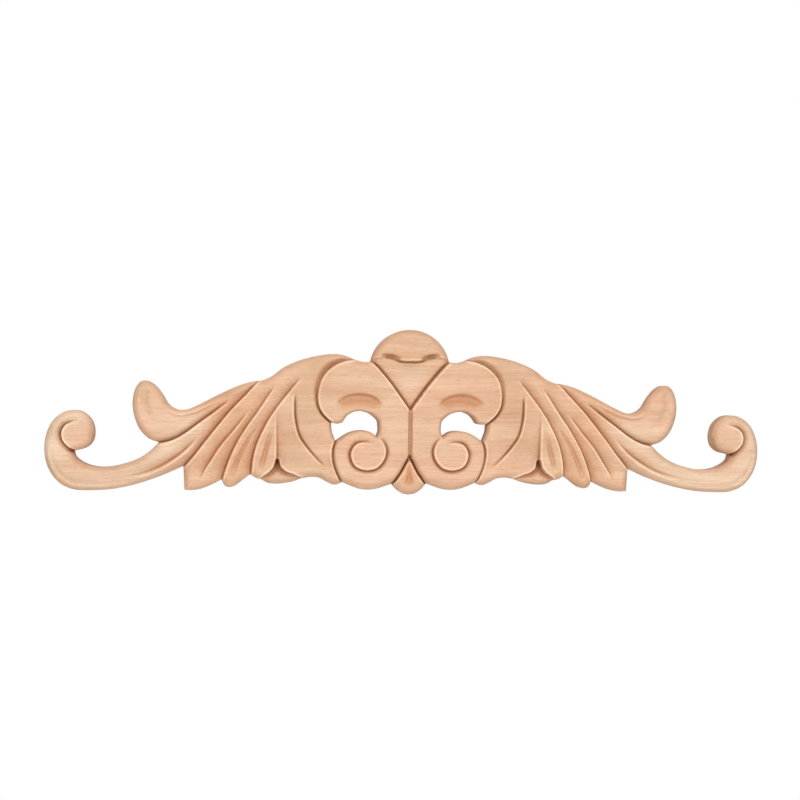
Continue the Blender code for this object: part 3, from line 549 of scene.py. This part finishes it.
# %% [markdown]
# ## Both halves, walls and back
# The left half is the mirror of the right one and shares its centre points. A Mirror
# modifier could do that, but the marks that are measured next need the whole front. Straight
# walls drop from the rim of the front to the back, as a fret saw leaves them, and the back
# is one flat face, because this is the side that is glued to the furniture.

# %% Front of both halves
on_centre = np.abs(plan[:, 0]) < TINY
twin = np.arange(len(plan))
twin[~on_centre] = len(plan) + np.arange((~on_centre).sum())
flat = np.vstack([plan, plan[~on_centre] * (-1, 1)])
lift = np.concatenate([rise, rise[~on_centre]])
front = np.vstack([plan_faces, twin[plan_faces][:, ::-1]])
print(f"front: {len(flat)} points, {len(front)} triangles")


# %% Walls and flat back
BACK_WELD = 1e-5          # mm, finer than on the front, so that every rim point stays


def rim_of(faces):
    """Edges that only one triangle uses, in that triangle's direction."""
    pairs = np.vstack([faces[:, [0, 1]], faces[:, [1, 2]], faces[:, [2, 0]]])
    count = faces.max() + 1
    key = pairs[:, 0].astype(np.int64) * count + pairs[:, 1]
    other = pairs[:, 1].astype(np.int64) * count + pairs[:, 0]
    return pairs[~np.isin(key, other)]


rim = rim_of(front)
rim_points = np.unique(rim)
below = np.zeros(len(flat), int)
below[rim_points] = len(flat) + np.arange(len(rim_points))
a, b = rim[:, 0], rim[:, 1]
walls = np.vstack([np.stack([b, a, below[a]], 1), np.stack([b, below[a], below[b]], 1)])

place = np.zeros(len(flat), int)
place[rim_points] = np.arange(len(rim_points))
spots, _, back, source, _, _ = delaunay_2d_cdt(flat[rim_points].tolist(), place[rim].tolist(),
                                               [], 0, BACK_WELD)
spots, back = np.array(spots), np.array(back)
middle = spots[back].mean(1)
folded = np.stack([np.abs(middle[:, 0]), middle[:, 1]], 1)
back = face_up(spots, back[inside(folded, half_ring) & ~inside(folded, hole)])[:, ::-1]
back = below[rim_points[np.array([s[0] for s in source])[back]]]
print(f"walls: {len(walls)} triangles, back: {len(back)}")

# %% [markdown]
# ## Painted shade in hollows, painted highlights on ridges, and places of another tone
# Shade is painted into the cuts and hollows, and highlights onto the crests. The knife
# lines and the crests are known from the cuts. The hollows are found from the surface
# itself: its height is averaged with its neighbours again and again, and a point that is
# below the average lies in a hollow. Few rounds find the narrow ones, many the wide scoops.
# Geometry's Pointiness could find them too, but it changes with the size of the triangles.
#
# The slender stem gets a painted highlight along its crown, and the curled leaf and the
# wedge are made a little paler. The hollowed leaf, the centre groove, the cove and the
# curl's scoop get painted shade, and the dome is made darker. The cove and the fan get a
# warm painted shade, and the drop's facet and the middle of the dome's lip are made warmer.
# The deepest corners, and edges that turn under, get pits of painted shade. Each such place
# is a soft band round a line. All of this is kept as attributes of the points, for the
# material.

# %% Places of painted light and shade, and of another tone
# Bands of painted light and shade: a painted highlight along the stem, painted shade on the
# hollowed leaf, in the centre groove, the cove and the curl's scoop, warm painted shade in the cove
# and the fan, and pits of painted shade in the deepest corners and under edges that turn under. The
# curled leaf and the wedge are also made paler, the dome darker, and the drop's facet and the
# middle of the dome's lip warmer.
TONES = {                 # lines with the reach of the band in mm and its strength
    "highlight_and_pale_place": [
        ([(120, 36), (131, 26), (141, 17.5), (152, 11.5), (165, 8), (178, 7.5), (188, 10.5),
          (194.5, 19), (195.5, 29), (190, 37.5), (182, 41.5)], 7, 1.0),
        ([(126, 40), (138, 38), (147, 44), (150.5, 52)], 6, 0.5),
        ([(0, 60), (0, 70)], 9, 0.65)],
    "shade_and_dark_place": [
        ([(52, 68), (58, 58), (57, 46), (64, 34), (66, 24)], 9, 1.0),
        ([(0, 80), (0, 88)], 15, 0.8),
        ([(0, 46), (0, 19)], 0.8, 1.2),
        ([(20, 50), (28, 51.5), (36, 49.5)], 3.5, 0.5),
        ([(146, 50), (148, 58)], 5, 0.6)],
    "warm_shade_place": [
        ([(20, 50), (28, 51.5), (36, 49.5)], 3.5, 0.9),
        ([(0, 75.0), (5.5, 74.8)], 2.2, 0.9),
        ([(0, 5), (0, 13)], 4, 1.0),
        ([(102, 46), (98, 30), (96, 12)], 14, 0.5)],
    "pit_shade": [
        ([(183.3, 21.6), (184.6, 22.4)], 1.2, 1.0),
        ([(73.2, 17.4), (73.2, 14.2)], 1.0, 1.0),
        ([(172.8, 31), (173.8, 27), (177.2, 23.5), (181, 21.6)], 0.8, 0.55),
        ([(0, 46), (0, 19)], 0.8, 0.25),
        ([(0, -1.8), (3, -1.2), (5.6, 0.1), (8, 2.1)], 0.7, 0.4),
        ([(60, 6.7), (64, 5.5), (69, 4.5), (74, 4.1), (78.5, 4.6), (81, 5.7)], 0.7, 0.4)],
}


def both_halves(values):
    """The values of the half, then those of its mirrored points."""
    return np.concatenate([values, values[~on_centre]])


def soft_bands(lines):
    """The largest strength * exp(-(distance / reach)^2) of the lines."""
    return np.max([strength * np.exp(-(nearest(plan, smooth_curve(line)[0])[0] / reach) ** 2)
                   for line, reach, strength in lines], 0)


# %% Measures kept with the mesh
FINE_ROUNDS = 4           # rounds of averaging that show the narrow cuts
WIDE_ROUNDS = 90          # rounds that show the wide scoops
HOLLOW_FULL = 0.45        # mm under the average at which a hollow is fully marked
SCOOP_FULL = 0.9
EDGE_FADE = 2.5           # mm from the outline over which the marks fade out
EDGE_REACH = 4            # mm within which the distance to the outline is measured
PLAIN_TO_SEE = 0.3        # strength from which a mark counts in the print
pairs = np.sort(np.vstack([front[:, [0, 1]], front[:, [1, 2]], front[:, [2, 0]]]), 1)
pairs = np.unique(pairs[:, 0].astype(np.int64) * len(flat) + pairs[:, 1])
one, two = pairs // len(flat), pairs % len(flat)
neighbours = np.bincount(one, minlength=len(flat)) + np.bincount(two, minlength=len(flat))


def averaged(values, rounds):
    """Each round replaces a value by the mean of itself and its neighbours."""
    for _ in range(rounds):
        total = np.bincount(one, values[two], len(flat)) + np.bincount(two, values[one], len(flat))
        values = (values + total) / (1 + neighbours)
    return values


from_edge = both_halves(np.minimum(nearest(plan, edge, reach=EDGE_REACH)[0],
                                   nearest(plan, hole_ring, reach=EDGE_REACH)[0]))
inward = np.clip(from_edge / EDGE_FADE, 0, 1)
fine = averaged(lift - averaged(lift, FINE_ROUNDS), 1)
wide = lift - averaged(lift, WIDE_ROUNDS)
# Masks of painted light and shade: the ridge is a painted highlight on the crests, and the knife
# line, hollow and scoop are painted shade. The bands above are painted light and shade, and some
# other tones.
marks = {
    "knife_line_shade": both_halves(knife),
    "ridge_highlight": both_halves(crest) * np.clip(from_edge, 0, 1),
    "hollow": np.clip(-fine / HOLLOW_FULL, 0, 1) * inward,
    "scoop_shade": np.clip(-wide / SCOOP_FULL, 0, 1) * inward,
    **{label: both_halves(soft_bands(lines)) for label, lines in TONES.items()},
}
for label, values in marks.items():
    print(f"{label}: on {100 * (values > PLAIN_TO_SEE).mean():.0f} % of the front")

# %% [markdown]
# ## The mesh
# All the parts of the surface now become one closed mesh in metres, at its true place: the
# back lies in the plane y = 0 and the carving rises toward -Y. It stands in for the plain
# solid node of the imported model. Shading is smooth, and sharp only at the rim and in the
# steepest cuts, as on sanded wood.

# %% One closed mesh
METRES = 0.001            # in a millimetre
SHARP_ANGLE = 60          # degrees between two faces from which their edge is sharp
scale = (WIDTH / 2) / plan[:, 0].max()
verts = np.stack([flat[:, 0] * scale, -lift, flat[:, 1] * scale - ORIGIN_Z], 1)
verts = np.vstack([verts, verts[rim_points] * (1, 0, 1)]) * METRES
faces = np.vstack([front, walls, back])

relief = bpy.data.meshes.new("carved_relief")
relief.from_pydata(verts.tolist(), [], faces.tolist())
for label, values in marks.items():
    kept = relief.attributes.new(label, "FLOAT", "POINT")
    kept.data.foreach_set("value", np.concatenate([values, np.zeros(len(rim_points))]))
relief.shade_smooth()
relief.set_sharp_from_angle(angle=math.radians(SHARP_ANGLE))
piece = bpy.data.objects.new("carved_relief", relief)
bpy.context.scene.collection.objects.link(piece)
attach(piece, "root")
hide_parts("carved_applique")
print(f"relief: {len(verts)} points, {len(faces)} triangles")

# %% [markdown]
# ## Wood grain
# The wood is pale and fine, and its grain runs along the board. Seen close it has four
# parts: large patches that are a little pinker, broad soft bands from the growth rings,
# fine fibres, and short dark pores. Each is a noise pattern that is stretched along X, so
# the same nodes also give the right end grain on the walls, which a picture of wood laid
# on the front would smear. The front, the sawn edge and the back all need it, so it is one
# shader group.

# %% Helpers for nodes
def add(tree, kind, values=(), **settings):
    """Adds a node, gives it its settings, then links or sets its inputs by name."""
    made = tree.nodes.new(kind)
    for key, value in settings.items():
        setattr(made, key, value)
    for key, value in dict(values).items():
        if isinstance(value, bpy.types.NodeSocket):
            tree.links.new(value, made.inputs[key])
        else:
            made.inputs[key].default_value = value
    return made


def stretched_noise(tree, vector, stretch, detail):
    """Noise at the point (x * sx, y * sy, z * sz), so a small sx draws it out along X."""
    moved = add(tree, "ShaderNodeVectorMath", {0: vector, 1: stretch}, operation="MULTIPLY")
    return add(tree, "ShaderNodeTexNoise", {"Vector": moved.outputs[0], "Scale": 1.0,
                                            "Detail": detail}).outputs["Fac"]


def mapped(tree, value, low, high, out_low=0.0, out_high=1.0):
    """The value stretched from low..high to out_low..out_high, and held inside that."""
    return add(tree, "ShaderNodeMapRange", {"Value": value, "From Min": low, "From Max": high,
                                            "To Min": out_low, "To Max": out_high}).outputs[0]


# %% The grain group
grain = bpy.data.node_groups.new("wood_grain", "ShaderNodeTree")
SWAY_SCALE = 9.0
SWAY = (0.0, 0.006, 0.009)          # m that the fibres wander off a straight line
grain.interface.new_socket("Position", in_out="INPUT", socket_type="NodeSocketVector")
for name in ("Patches", "Bands", "Fibres", "Pores"):
    grain.interface.new_socket(name, in_out="OUTPUT", socket_type="NodeSocketFloat")
given = add(grain, "NodeGroupInput").outputs["Position"]
sway = add(grain, "ShaderNodeTexNoise", {"Vector": given, "Scale": SWAY_SCALE, "Detail": 1.0})
shift = add(grain, "ShaderNodeVectorMath", {0: sway.outputs["Color"], 1: SWAY},
            operation="MULTIPLY")
swayed = add(grain, "ShaderNodeVectorMath", {0: given, 1: shift.outputs[0]}).outputs[0]
result = add(grain, "NodeGroupOutput")
for name, pattern, low, high in (
        ("Patches", stretched_noise(grain, given, (22, 60, 60), 2), 0.38, 0.62),
        ("Bands", stretched_noise(grain, swayed, (7, 90, 130), 3), 0.32, 0.68),
        ("Fibres", stretched_noise(grain, swayed, (45, 900, 1100), 3), 0.3, 0.7),
        ("Pores", stretched_noise(grain, swayed, (260, 2600, 3000), 1), 0.6, 0.74)):
    grain.links.new(mapped(grain, pattern, low, high), result.inputs[name])
print("grain group made with", len(grain.nodes), "nodes")

# %% [markdown]
# ## The wood
# Every face of the board is the same wood: pale straw with tan bands, pinker patches and
# darker fibres and pores. The fibres are also what makes it a little rougher and uneven, so
# the same patterns go into the roughness and the bump. The bump holds only what is too fine
# for the mesh. One function makes the material, and each face gives it colours of its own.

# %% A wood material
BUMP_STRENGTH = 0.25
FIBRE_DEPTH = 0.00015     # m
PATCH_TINT = (1.0, 0.93, 0.92, 1)
FIBRE_TINT, FIBRE_SHARE = (0.86, 0.80, 0.74, 1), 0.8
PORE_TINT, PORE_SHARE = (0.72, 0.62, 0.52, 1), 0.6
SMOOTHER, ROUGHER = -0.06, 0.08     # roughness between the fibres and on them
GLOSS = 0.35              # specular level of bare wood, where varnish has 0.5


def tinted(tree, colour, factor, tint):
    """The colour multiplied by the tint, as far as the factor says."""
    return add(tree, "ShaderNodeMix", {"Factor": factor, 6: colour, 7: tint},
               data_type="RGBA", blend_type="MULTIPLY").outputs[2]


def scaled(tree, value, by):
    """The value times a number."""
    return add(tree, "ShaderNodeMath", {0: value, 1: by}, operation="MULTIPLY").outputs[0]


def wood_material(name, pale, tan, rough, tool_marks=None):
    """A material with the grain in its colour, roughness and bump, and the marks of a tool
    added to the bump. It gives back the parts that the carved front goes on to change."""
    material = bpy.data.materials.new(name)
    material.use_nodes = True
    tree = material.node_tree
    surface = tree.nodes["Principled BSDF"]
    place = add(tree, "ShaderNodeTexCoord").outputs["Object"]
    group = add(tree, "ShaderNodeGroup", node_tree=grain)
    tree.links.new(place, group.inputs["Position"])
    patches, bands, fibres, pores = (group.outputs[n] for n in range(4))
    colour = add(tree, "ShaderNodeMix", {"Factor": bands, 6: pale, 7: tan},
                 data_type="RGBA").outputs[2]
    colour = tinted(tree, colour, patches, PATCH_TINT)
    colour = tinted(tree, colour, scaled(tree, fibres, FIBRE_SHARE), FIBRE_TINT)
    colour = tinted(tree, colour, scaled(tree, pores, PORE_SHARE), PORE_TINT)
    tree.links.new(mapped(tree, fibres, 0, 1, rough + SMOOTHER, rough + ROUGHER),
                   surface.inputs["Roughness"])
    surface.inputs["Specular IOR Level"].default_value = GLOSS
    uneven = add(tree, "ShaderNodeMath", {0: fibres, 1: pores}, operation="SUBTRACT").outputs[0]
    if tool_marks:
        uneven = add(tree, "ShaderNodeMath", {0: uneven, 1: tool_marks(tree, place)}).outputs[0]
    bump = add(tree, "ShaderNodeBump", {"Height": uneven, "Strength": BUMP_STRENGTH,
                                        "Distance": FIBRE_DEPTH})
    tree.links.new(bump.outputs[0], surface.inputs["Normal"])
    return material, tree, surface, colour


# %% [markdown]
# ## The carved front
# The front is the wood with all the marks laid over it. The cuts get a painted shade of warm
# brown, standing in for the shade in them and for the light that bounces between their walls
# and picks up the wood's own colour. The crests get a painted highlight. Each mark is an
# attribute that says how far its tint goes, so the tones lie exactly where the surface was
# cut.

# %% Material of the front
# Each tint paints light or shade into the colour: a painted highlight on the crests and along the
# stem, painted shade in the knife lines, hollows, scoops and pits, on the hollowed leaf and in the
# cove, and warm painted shade in the cove and the fan. Beyond that, the curled leaf and the wedge
# are made paler, the dome darker, and the drop's facet and the middle of the dome's lip warmer.
MARK_TINTS = {            # how far each mark goes, and its tint
    "highlight_and_pale_place": (1.0, (1.05, 1.17, 1.26, 1)),
    "shade_and_dark_place": (1.0, (0.90, 0.87, 0.82, 1)),
    "scoop_shade": (0.5, (0.82, 0.69, 0.55, 1)),
    "hollow": (0.1, (0.72, 0.58, 0.46, 1)),
    "knife_line_shade": (0.9, (0.60, 0.44, 0.32, 1)),
    "warm_shade_place": (1.0, (0.94, 0.83, 0.71, 1)),
    "pit_shade": (1.0, (0.52, 0.34, 0.19, 1)),
    "ridge_highlight": (1.0, (1.35, 1.50, 1.65, 1)),
}
front_wood, tree, surface, colour = wood_material(
    "carved_pale_wood", pale=(0.765, 0.512, 0.344, 1), tan=(0.665, 0.42, 0.266, 1), rough=0.52)
for label, (strength, tint) in MARK_TINTS.items():
    mark = add(tree, "ShaderNodeAttribute", attribute_name=label).outputs["Fac"]
    colour = tinted(tree, colour, scaled(tree, mark, strength), tint)
tree.links.new(colour, surface.inputs["Base Color"])
relief.materials.append(front_wood)

# %% [markdown]
# ## The sawn edge and the back
# The outline is cut with a thin upright blade, which leaves fine lines straight through the
# thickness, and the edge is coloured a little darker than the front. Nobody sees the back
# once it is glued on, so it is only planed: a shade greyer and rougher, with the ripple that
# planer knives leave across the grain. Real grooves in the mesh would cost far more triangles than
# anyone would see, so both are the same wood with marks of their own added to the bump.

# %% Materials of the edge and the back
SAW_DEPTH = 2.0           # times the depth of the fibres
RIPPLE_SCALE = 70.0
RIPPLE_DEPTH = 1.5        # times the depth of the fibres
RIPPLE_WANDER = 0.4


def saw_lines(tree, place):
    """Noise that is drawn out along Y, the thickness, in lines under a millimetre wide."""
    return scaled(tree, stretched_noise(tree, place, (1500, 30, 1500), 2), SAW_DEPTH)


def planer_ripple(tree, place):
    """Waves along X, one every 0.314 / RIPPLE_SCALE metres, which is 4.5 mm."""
    wave = add(tree, "ShaderNodeTexWave", {"Vector": place, "Scale": RIPPLE_SCALE,
                                           "Distortion": RIPPLE_WANDER},
               bands_direction="X", wave_profile="SIN")
    return scaled(tree, wave.outputs["Fac"], RIPPLE_DEPTH)


edge_wood, tree, surface, colour = wood_material(
    "sawn_edge_wood", pale=(0.66, 0.42, 0.275, 1), tan=(0.56, 0.335, 0.205, 1), rough=0.72,
    tool_marks=saw_lines)
tree.links.new(colour, surface.inputs["Base Color"])
relief.materials.append(edge_wood)
back_wood, tree, surface, colour = wood_material(
    "planed_back_wood", pale=(0.66, 0.435, 0.30, 1), tan=(0.56, 0.355, 0.235, 1), rough=0.68,
    tool_marks=planer_ripple)
tree.links.new(colour, surface.inputs["Base Color"])
relief.materials.append(back_wood)
relief.polygons.foreach_set("material_index", np.repeat(
    [0, 1, 2], [len(front), len(walls), len(back)]).astype(np.int32))
print("materials:", [m.name for m in relief.materials])

# %% [markdown]
# ## The stage
# The photograph shows the piece on plain white, lit so evenly that there are no cast
# shadows: a bright room with one broad soft light near the camera. So the world gives most
# of the light, brighter from above than from below, which leaves the undersides of the
# cuts darker. The front light models the relief, and a weak one from above keeps the upper
# edges a little lighter. A pale floor lies well under the piece, out of the picture, and
# sends some light up. The camera itself sees the world as plain white paper.

# %% Studio
ROOM_BELOW = 0.19         # brightness of the room straight below, and straight above
ROOM_ABOVE = 0.77
PAPER = 1.0
scene = bpy.context.scene
scene.view_settings.view_transform = "Standard"
scene.view_settings.look = "None"
studio = bpy.data.worlds.new("studio")
scene.world = studio
studio.use_nodes = True
tree = studio.node_tree
tree.nodes.clear()
seen = add(tree, "ShaderNodeLightPath").outputs["Is Camera Ray"]
direction = add(tree, "ShaderNodeTexCoord").outputs["Generated"]
upward = add(tree, "ShaderNodeSeparateXYZ", {0: direction}).outputs["Z"]
strength = mapped(tree, upward, -1, 1, ROOM_BELOW, ROOM_ABOVE)
room = add(tree, "ShaderNodeBackground", {"Color": (1, 1, 1, 1), "Strength": strength})
paper = add(tree, "ShaderNodeBackground", {"Color": (1, 1, 1, 1), "Strength": PAPER})
mix = add(tree, "ShaderNodeMixShader", {0: seen, 1: room.outputs[0], 2: paper.outputs[0]})
add(tree, "ShaderNodeOutputWorld", {"Surface": mix.outputs[0]})

# %% Floor
FLOOR_HALF = 1.3          # m
FLOOR_Z = -0.6            # m
corners = [(-1, -1), (1, -1), (1, 1), (-1, 1)]
floor_mesh = bpy.data.meshes.new("floor")
floor_mesh.from_pydata([(x * FLOOR_HALF, y * FLOOR_HALF, FLOOR_Z) for x, y in corners], [],
                       [(0, 1, 2, 3)])
floor = bpy.data.objects.new("floor", floor_mesh)
scene.collection.objects.link(floor)
pale = bpy.data.materials.new("pale_floor")
pale.use_nodes = True
pale.node_tree.nodes["Principled BSDF"].inputs["Base Color"].default_value = (0.8, 0.8, 0.8, 1)
floor_mesh.materials.append(pale)


# %% Lights
def area_light(name, place, size, power):
    """A rectangle of light that faces the piece at the origin, in metres and watts."""
    light = bpy.data.lights.new(name, "AREA")
    light.shape = "RECTANGLE"
    light.size, light.size_y = size
    light.energy = power
    lamp = bpy.data.objects.new(name, light)
    scene.collection.objects.link(lamp)
    lamp.location = place
    lamp.rotation_euler = (-Vector(place)).to_track_quat("-Z", "Y").to_euler()


area_light("front_light", place=(0.0, -1.3, 0.2), size=(1.4, 0.9), power=11.9)
area_light("top_light", place=(0.0, -0.4, 1.1), size=(1.2, 0.5), power=2)
print("lights:", [light.name for light in bpy.data.lights])

# %% [markdown]
# ## The camera
# In the photograph the left half is a few per cent larger than the right one, so the
# camera stands a little to the left and looks back at the piece. Its distance, turn
# and roll were found by laying the drawn outline over the picture. Stretching one half of
# the piece would give the same picture, but no carver would make it so.

# %% Camera
DISTANCE = 0.85           # m from the target
YAW = math.radians(-5.78)
ROLL = math.radians(0.53)
SENSOR = 36               # mm, full frame
LENS = 68.57              # mm
target = Vector((-0.0054, -0.008, 0.0070))
camera_data = bpy.data.cameras.new("camera")
camera_data.sensor_width = SENSOR
camera_data.lens = LENS
camera = bpy.data.objects.new("camera", camera_data)
scene.collection.objects.link(camera)
scene.camera = camera
camera.location = target + DISTANCE * Vector((math.sin(YAW), -math.cos(YAW), 0))
aim = (target - camera.location).to_track_quat("-Z", "Y")
camera.rotation_euler = (aim @ Matrix.Rotation(ROLL, 3, "Z").to_quaternion()).to_euler()
print("camera at", [round(v, 3) for v in camera.location])
